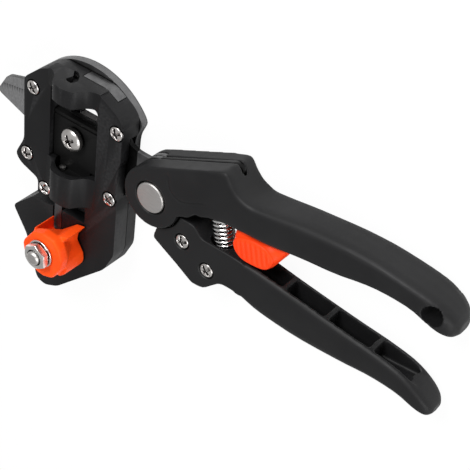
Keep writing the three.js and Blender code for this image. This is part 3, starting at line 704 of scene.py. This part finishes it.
# The handle's panel raised behind a narrow groove, and lost in the face towards its top and right
panel_area = ((7, 31), (5, 24))
panel_depth = 0.2
groove_half = 0.75
groove_depth = 0.85
panel_rise = 0.3
rise_width = 0.5
rise_start = 2
rise_length = 7
panel_fade_right = [(27, 1), (31, 0)]
panel_fade_top = [(11, 1), (22, 0)]


def raise_panel(x, y, z):
    inside = inside_panel(x, y)
    fade = limited(1 - (inside - rise_start) / rise_length)
    groove = max(1 - abs(inside) / groove_half, 0)
    rise = panel_rise * limited(inside / rise_width) * fade - groove_depth * groove
    return Vector((x, y, z + rise * between(x, panel_fade_right) * between(y, panel_fade_top)))


# The upper handle's lower edges rounded beside the spring and the lock
lower_line = [(17, 2.9), (21.4, 3.2), (27.2, 4.4), (36.1, 5.4), (43.2, 5.8), (51.6, 6.2), (60, 7.3)]
lower_radius = [(21, 0), (28, 3.8), (56.5, 3.8), (58.5, 0.6), (60, 0)]
least_radius = 0.5


def round_lower_edge(x, y, z):
    low = between(x, lower_line)
    radius = between(x, lower_radius)
    side, depth = side_and_depth(z)
    away = Vector((radius - (y - low), radius - depth))
    if radius < least_radius or away.x < 0 or away.y < 0 or away.length <= radius:
        return Vector((x, y, z))
    away = away.normalized() * radius
    return Vector((x, low + radius - away.x, handle_middle + side * (handle_middle - radius + away.y)))


def shape_upper(point):
    x, y, z = point
    (left, right), (bottom, top) = panel_area
    if left < x < right and bottom < y < top and z > handle_thick - panel_depth:
        return raise_panel(x, y, z)
    return round_lower_edge(x, y, z)


# The upper handle, with its box melted into its grip, but not in the slot or at the panel
melt_along = [(24, 0), (31, 1), (70, 1), (84, 0)]
melt_outside = [(2.5, 0), (4.5, 1)]
melt_past_slot = [(slot_end, 0), (40, 1)]
melt_rounds = 80


def melt_share(point):
    outside = between(abs(point.z - handle_middle), melt_outside)
    return between(point.x, melt_along) * max(outside, between(point.x, melt_past_slot))


def make_upper_handle():
    piece = moulded("upper_handle", "head", soft_black, prepare_upper, shape_upper)
    group = piece.vertex_groups.new(name="melt")
    for vertex in piece.data.vertices:
        group.add([vertex.index], melt_share(vertex.co / MM), "REPLACE")
    smooth_points(piece, "melt", melt_rounds).vertex_group = group.name


# The lower handle's ribs: where each of their faces stands, and how far it moves along the handle
rib_moves = {61.35: -2, 63.35: -2, 80.33: -1.9, 82.33: -1.9, 99.3: -1.3, 101.3: -1.3, 117.65: -2.4}
channel_half = 4


def shape_lower(point):
    for place, move in rib_moves.items():
        if abs(point.x - place) < level_slack and abs(point.z - handle_middle) < channel_half:
            return point + Vector((move, 0, 0))
    return point


# The rear disc, with painted light on its upward sill face under the plates' window, and a rounder corner
# beside the neck
sill_level = 8.45 * MM
sill_slack = 0.1 * MM
looks_up = 0.9
rim_moves = {(-16.59, 18.61): (-16.95, 18.85), (-16.41, 18.33): (-16.62, 17.7)}
rim_slack = 0.1


# Painted light: the sill's upward faces get a pale steel, for the light that falls on them
def paint_sill_lit(mesh):
    mesh.materials.append(sill_lit_steel)
    for face in mesh.polygons:
        if face.normal.y > looks_up and abs(face.center.y - sill_level) < sill_slack:
            face.material_index = 1


def round_rim(mesh):
    for vertex in mesh.vertices:
        for old, new in rim_moves.items():
            if (vertex.co.xy / MM - Vector(old)).length < rim_slack:
                vertex.co.xy = Vector(new) * MM


def make_rear_disc():
    piece = finished("rear_disc", "head", coated_steel, layer_edge, fine_steps)
    paint_sill_lit(piece.data)
    round_rim(piece.data)


# The front cover, its channel's right wall moved out and its upper corner filled above the carriage
channel_right = -30.5 * MM
channel_top = 22.5 * MM
channel_gain = 0.7 * MM
channel_slack = 0.1 * MM
wall_top = 23 * MM
wall_back = 8 * MM
corner_radius = 2.7 * MM
corner_sink = 0.3 * MM
corner_back = 11.35 * MM
corner_front = 13.4 * MM
corner_steps = 8


def widen_channel(mesh):
    for vertex in mesh.vertices:
        x, y, z = vertex.co
        if abs(x - channel_right) < channel_slack and y < wall_top and z > wall_back:
            vertex.co.x += channel_gain


def fill_corner(mesh):
    corner = Vector((channel_right + channel_gain, channel_top))
    centre = corner - Vector((corner_radius, corner_radius))
    turns = [FULL_TURN / 4 * step / corner_steps for step in range(corner_steps + 1)]
    arc = [centre + Vector((math.cos(turn), math.sin(turn))) * corner_radius for turn in turns]
    outer = corner + Vector((corner_sink, corner_sink))
    outline = [Vector((outer.x, arc[0].y)), *arc, Vector((arc[-1].x, outer.y)), outer]
    shape = bmesh.new()
    shape.from_mesh(mesh)
    levels = (corner_back, corner_front)
    add_prism(shape, [[Vector((*point, level)) for point in outline] for level in levels])
    shape.to_mesh(mesh)
    shape.free()


def make_front_cover():
    piece = finished("front_cover", "head", black_plastic, cover_edge, fine_steps)
    widen_channel(piece.data)
    fill_corner(piece.data)


# Rings of points joined to one closed skin, where a ring may also be a single point
def skin(name, rings):
    shape = bmesh.new()
    made = [[shape.verts.new(point) for point in ring] for ring in rings]
    for lower, upper in zip(made, made[1:]):
        count = max(len(lower), len(upper))
        for step in range(count):
            after = (step + 1) % count
            corners = [lower[step % len(lower)], lower[after % len(lower)], upper[after % len(upper)],
                       upper[step % len(upper)]]
            face = list(dict.fromkeys(corners))
            if len(face) > 2:
                shape.faces.new(face)
    bmesh.ops.recalc_face_normals(shape, faces=shape.faces)
    mesh = bpy.data.meshes.new(name)
    shape.to_mesh(mesh)
    shape.free()
    return mesh


def turns_round(count):
    return [FULL_TURN * step / count for step in range(count)]


def ring_at(place, radius, level, count):
    turns = turns_round(count)
    return [Vector((place.x + radius * math.cos(turn), place.y + radius * math.sin(turn), level))
            for turn in turns]


# The share of a cross's depth at a place: 1 in its arms, 0 outside them, with sloped walls
wall_slope = 0.6


def ramp_down(value, edge, width):
    return limited((edge - value) / width + 0.5)


def cross_share(x, y, reach, half):
    soft = half * wall_slope
    arms = [ramp_down(abs(u), reach, soft * 2) * ramp_down(abs(v), half, soft) for u, v in [(x, y), (y, x)]]
    return max(arms)


# A cross-slotted screw: a domed head on a rim, its shank, and a seat under a lifted head
screw_points = 72
arm_half_share = 0.24
cross_depth_share = 0.75
deepest_cross = 1.5 * MM
rim_share = 0.42
dome_share = 0.985
ring_shares = [0.04 * step for step in range(1, 25)] + [dome_share, 1]
seat_share = 0.92
shank_share = 0.5


def screw(node, body, dome, arm, turn, lift=0):
    low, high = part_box(node)
    place = (low + high) / 2
    radius = (high.x - low.x) / 2
    seat = high.z - dome
    bearing = seat + lift
    rim = dome * rim_share
    tilt = math.radians(turn)
    depth = min(dome * cross_depth_share, deepest_cross)

    def on_dome(share, angle):
        x = radius * share * math.cos(angle)
        y = radius * share * math.sin(angle)
        level = bearing + rim + (dome - rim) * math.sqrt(max(1 - (share * dome_share) ** 2, 0))
        across = x * math.cos(tilt) + y * math.sin(tilt)
        along = y * math.cos(tilt) - x * math.sin(tilt)
        cut = depth * cross_share(across, along, arm, arm * arm_half_share)
        return Vector((place.x + x, place.y + y, level - cut))

    rings = [[Vector((place.x, place.y, bearing + dome - depth))]]
    rings += [[on_dome(share, angle) for angle in turns_round(screw_points)] for share in ring_shares]
    rings.append(ring_at(place, radius, bearing, screw_points))
    if lift:
        rings.append(ring_at(place, radius * seat_share, bearing, screw_points))
        rings.append(ring_at(place, radius * seat_share, seat, screw_points))
    rings.append(ring_at(place, radius * shank_share, seat, screw_points))
    rings.append(ring_at(place, radius * shank_share, low.z, screw_points))
    rings.append([Vector((place.x, place.y, low.z))])
    name = f"{node}_finish"
    new_piece(name, skin(name, rings), screw_steel, body, node)


# The seven small screws, each with its cross turned its own way, and the larger blade screw
cover_turns = [38, 12, 25, 50, 66]
handle_turns = [20, 47]
small_dome = 1.4 * MM
small_arm = 2.15 * MM
blade_screw_dome = 3.4 * MM
blade_screw_arm = 2.4 * MM
blade_screw_turn = 30
blade_screw_lift = 1.2 * MM


def make_screws():
    for number, turn in enumerate(cover_turns, 1):
        screw(f"cover_screw_{number}", "head", small_dome, small_arm, turn)
    for number, turn in enumerate(handle_turns, 1):
        screw(f"handle_screw_{number}", "lever", small_dome, small_arm, turn)
    screw("blade_screw", "carriage", blade_screw_dome, blade_screw_arm, blade_screw_turn, blade_screw_lift)


# The return spring, from its seat under the upper handle down to the lower handle
spring_top = Vector((26.92, 5.46, handle_middle)) * MM
spring_along = Vector((0.2351, -0.972, 0))
spring_length = 14.875 * MM
coil_radius = 3.65 * MM
wire_radius = 1.15 * MM / 2
coils = 8.5
coil_steps = 240
wire_sides = 12


def coil_axis(step):
    return spring_top + spring_along * spring_length * step / coil_steps


def coil_centre(step):
    front = Vector((0, 0, 1))
    across = spring_along.cross(front)
    turn = FULL_TURN * coils * step / coil_steps
    return coil_axis(step) + (front * math.cos(turn) + across * math.sin(turn)) * coil_radius


def wire_ring(step):
    centre = coil_centre(step)
    tangent = (coil_centre(step + 0.5) - coil_centre(step - 0.5)).normalized()
    beside = tangent.cross((centre - coil_axis(step)).normalized()).normalized()
    outward = beside.cross(tangent)
    return [centre + (outward * math.cos(turn) + beside * math.sin(turn)) * wire_radius
            for turn in turns_round(wire_sides)]


def make_spring():
    rings = [[coil_centre(0)]]
    rings += [wire_ring(step) for step in range(coil_steps + 1)]
    rings.append([coil_centre(coil_steps)])
    name = "return_spring_finish"
    piece = new_piece(name, skin(name, rings), spring_steel, None, "return_spring")
    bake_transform(piece)


# A smooth closed curve through points that are given in millimetres
def smooth_loop(points, per_side):
    loop = []
    count = len(points)
    for index in range(count):
        p0, p1, p2, p3 = (Vector(points[(index + offset) % count]) for offset in (-1, 0, 1, 2))
        for step in range(per_side):
            t = step / per_side
            bend = (2 * p0 - 5 * p1 + 4 * p2 - p3) * t ** 2 + (3 * p1 - p0 - 3 * p2 + p3) * t ** 3
            loop.append(0.5 * (2 * p1 + (p2 - p0) * t + bend) * MM)
    return loop


# The lock: a ribbed pad on each face, and a slope from the pad out to a foot at the handle
lock_pad = [(37.5, -1), (38.4, 1.9), (41.5, 3.7), (45.1, 4.6), (48.5, 4.75), (51.4, 4.4), (54, 2.9),
            (55.5, 0.4), (54.2, -3.1), (52.2, -4.9), (48.5, -5.8), (42.9, -5.9), (39.3, -4.2)]
lock_foot = [(37.1, -1), (36.9, 3.2), (39, 5.2), (45.1, 5.3), (48.8, 5.6), (53.6, 5.9), (58.2, 6.1),
             (58.1, 3.2), (54.9, -2.9), (52.5, -5.1), (48.5, -6), (42.9, -6.1), (39, -4.4)]
lock_steps = 9
lock_middle = Vector((47, -0.6)) * MM
lock_plane = handle_middle * MM
lock_face = 15.2 * MM
lock_shelf = 12 * MM
rib_across = Vector((1, 0.258)).normalized()
rib_pitch = 2.25 * MM
rib_height = 0.6 * MM
rib_margin = 0.5 * MM
rib_fade = 1.2 * MM
pad_round = 0.8 * MM
pad_shares = [0.03 * step for step in range(1, 33)] + [0.975, 0.99, 1]
foot_shares = [0.5, 1]


def pad_level(spot, room):
    fall = pad_round * (1 - math.sqrt(max(1 - (1 - min(room / pad_round, 1)) ** 2, 0)))
    wave = 0.5 + 0.5 * math.cos((spot - lock_middle).dot(rib_across) * FULL_TURN / rib_pitch)
    fade = limited((room - rib_margin) / rib_fade)
    return lock_face - rib_height + rib_height * wave * fade - fall


def on_side(spot, level, side):
    return Vector((spot.x, spot.y, lock_plane + side * (level - lock_plane)))


def pad_ring(pad, share, side):
    ring = []
    for point in pad:
        spot = lock_middle + (point - lock_middle) * share
        room = (point - lock_middle).length * (1 - share)
        ring.append(on_side(spot, pad_level(spot, room), side))
    return ring


def foot_ring(pad, foot, share, side):
    drop = lock_face - rib_height - pad_round - lock_shelf
    level = lock_shelf + drop * (1 - share)
    return [on_side(start.lerp(end, share), level, side) for start, end in zip(pad, foot)]


def lock_half(pad, foot, side):
    rings = [[on_side(lock_middle, lock_face, side)]]
    rings += [pad_ring(pad, share, side) for share in pad_shares]
    rings += [foot_ring(pad, foot, share, side) for share in foot_shares]
    return rings


def make_lock():
    pad = smooth_loop(lock_pad, lock_steps)
    foot = smooth_loop(lock_foot, lock_steps)
    rings = lock_half(pad, foot, 1) + lock_half(pad, foot, -1)[::-1]
    new_piece("lock_finish", skin("lock_finish", rings), lock_plastic, "lock", "lock_slider")


# The anvil: a notched prism that ends in a plain blunt front, melted together, with its bore.
# Both outlines are in shares of the anvil's size, about the bolt's middle.
anvil_middle = Vector((-42.2, -44)) * MM
anvil_size = 10 * MM
notched_outline = [(-0.93, 0.05), (-0.82, 0.58), (-0.72, 0.66), (-0.73, 0.04), (-0.61, 0), (-0.38, 0.11),
                   (0.52, 0.92), (0.96, 1.03), (0.62, 0.54), (0.56, 0.17), (0.9, -0.31), (0.95, -0.66),
                   (0.86, -0.9), (0.62, -1.12), (0, -1.15), (-0.5, -0.65)]
blunt_outline = [(-1.06, -0.06), (-1, 0.12), (-0.55, 0.74), (0, 0.98), (0.6, 0.93), (0.9, 0.6), (1.06, 0.1),
                 (0.98, -0.4), (0.55, -1.05), (0.1, -1.2), (-0.28, -1.15), (-0.95, -0.6)]
notched_end = 4.2 * MM
blunt_depths = [(13, 0.45), (8, 0.74), (4, 0.99), (1, 1), (0, 0.95)]
anvil_cell = 0.3 * MM
anvil_rounds = 26
bore_radius = 3.3 * MM
bore_past = 1 * MM
bore_points = 48


# An outline of the anvil at a level, scaled about its middle by a share
def anvil_row(outline, level, share):
    row = [anvil_middle + Vector(point) * anvil_size * share for point in outline]
    return [Vector((point.x, point.y, level)) for point in row]


def anvil_mesh(low, high):
    shape = bmesh.new()
    add_prism(shape, [anvil_row(notched_outline, level, 1) for level in (low, high - notched_end)])
    add_prism(shape, [anvil_row(blunt_outline, high - depth * MM, share) for depth, share in blunt_depths])
    bmesh.ops.recalc_face_normals(shape, faces=shape.faces)
    mesh = bpy.data.meshes.new("anvil_finish")
    shape.to_mesh(mesh)
    shape.free()
    return even_mesh(mesh, anvil_cell)


def cylinder_mesh(name, place, radius, bottom, top):
    middle = Vector((place.x, place.y, 0))
    ends = [[middle + Vector((0, 0, level))] for level in (bottom, top)]
    rings = [ring_at(place, radius, level, bore_points) for level in (bottom, top)]
    return skin(name, [ends[0], *rings, ends[1]])


def cut_with(piece, mesh):
    tool = bpy.data.objects.new(mesh.name, mesh)
    bpy.context.scene.collection.objects.link(tool)
    cutting = piece.modifiers.new("bore", "BOOLEAN")
    cutting.object = tool
    cutting.operation = "DIFFERENCE"
    cutting.solver = "EXACT"
    made = worked_mesh(piece)
    piece.modifiers.clear()
    piece.data = made
    bpy.data.objects.remove(tool)


def make_anvil():
    low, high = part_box("anvil")
    piece = new_piece("anvil_finish", anvil_mesh(low.z, high.z), orange_plastic, "anvil", "anvil")
    bore = cylinder_mesh("anvil_bore", anvil_middle, bore_radius, low.z - bore_past, high.z + bore_past)
    cut_with(piece, bore)
    smooth_points(piece, "smooth", anvil_rounds)


# The nut, with its corners chamfered at both faces
nut_slope = math.tan(math.radians(30))
nut_bore = 3.25 * MM
nut_chamfer = 0.4 * MM
nut_flat_share = 0.94
nut_steps = 16
nut_sides = 6
nut_edge = 0.12 * MM
nut_edge_turn = math.radians(25)
nut_same_point = 0.001 * MM


def nut_rings(low, high):
    place = (low + high) / 2
    half = (high.y - low.y) / 2
    wide = (high.x - low.x) / 2
    apothem = min(half, wide)
    side_turn = FULL_TURN / nut_sides
    corner_turn = 0 if wide > half else side_turn / 2
    flat = apothem * nut_flat_share
    turns = [corner_turn + turn for turn in turns_round(nut_sides * nut_steps)]

    def hex_radius(turn):
        from_corner = (turn - corner_turn) % side_turn
        return apothem / math.cos(from_corner - side_turn / 2)

    def point(turn, radius, level):
        return Vector((place.x + radius * math.cos(turn), place.y + radius * math.sin(turn), level))

    def circle(radius, level):
        return [point(turn, radius, level) for turn in turns]

    def hexagon(face, inwards):
        radii = [hex_radius(turn) for turn in turns]
        return [point(turn, radius, face + inwards * (radius - flat) * nut_slope)
                for turn, radius in zip(turns, radii)]

    return [
        circle(nut_bore, low.z + nut_chamfer),
        circle(nut_bore + nut_chamfer, low.z),
        circle(flat, low.z),
        hexagon(low.z, 1),
        hexagon(high.z, -1),
        circle(flat, high.z),
        circle(nut_bore + nut_chamfer, high.z),
        circle(nut_bore, high.z - nut_chamfer),
        circle(nut_bore, low.z + nut_chamfer),
    ]


def make_nut():
    mesh = skin("anvil_nut_finish", nut_rings(*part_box("anvil_nut")))
    shape = bmesh.new()
    shape.from_mesh(mesh)
    bmesh.ops.remove_doubles(shape, verts=shape.verts, dist=nut_same_point)
    bmesh.ops.recalc_face_normals(shape, faces=shape.faces)
    shape.to_mesh(mesh)
    shape.free()
    piece = new_piece("anvil_nut_finish", mesh, bright_steel, "head", "anvil_nut")
    round_edges(piece, nut_edge, 2, nut_edge_turn)


make_camera()
make_floor()
make_world()
make_lamp("key", key_place, key_target, key_size, key_power)
make_lamp("fill", fill_place, fill_target, fill_size, fill_power)

# Every piece in its finish
make_front_cover()
finished("rear_cover", "head", black_plastic, layer_edge, fine_steps)
make_rear_disc()
finished("frame_plate", "head", plate_steel, plate_edge)
make_upper_handle()
moulded("lower_handle", "lever", soft_black, shape_lower)
finished("lever_plate", "lever", coated_steel, thin_edge)
make_anvil()
finished("blade_carriage", "carriage", carriage_shade_plastic, block_edge)
finished("pivot_rivet", "head", brushed_steel, block_edge, fine_steps)
finished("anvil_washer", "head", bright_steel, thin_edge)
finished("anvil_bolt", "head", brushed_steel, thin_edge)
make_nut()
make_screws()
make_spring()
make_lock()

# The small pieces that need no other shape than their solid's
plain_nodes = {"pivot_bush": bright_steel, "crank_pin": bright_steel, "grafting_blade": blade_steel,
               "blade_set_screw": bright_steel}
for name, material in plain_nodes.items():
    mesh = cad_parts[name].data
    mesh.materials.clear()
    mesh.materials.append(material)

scene = bpy.context.scene
scene.view_settings.view_transform = "Standard"
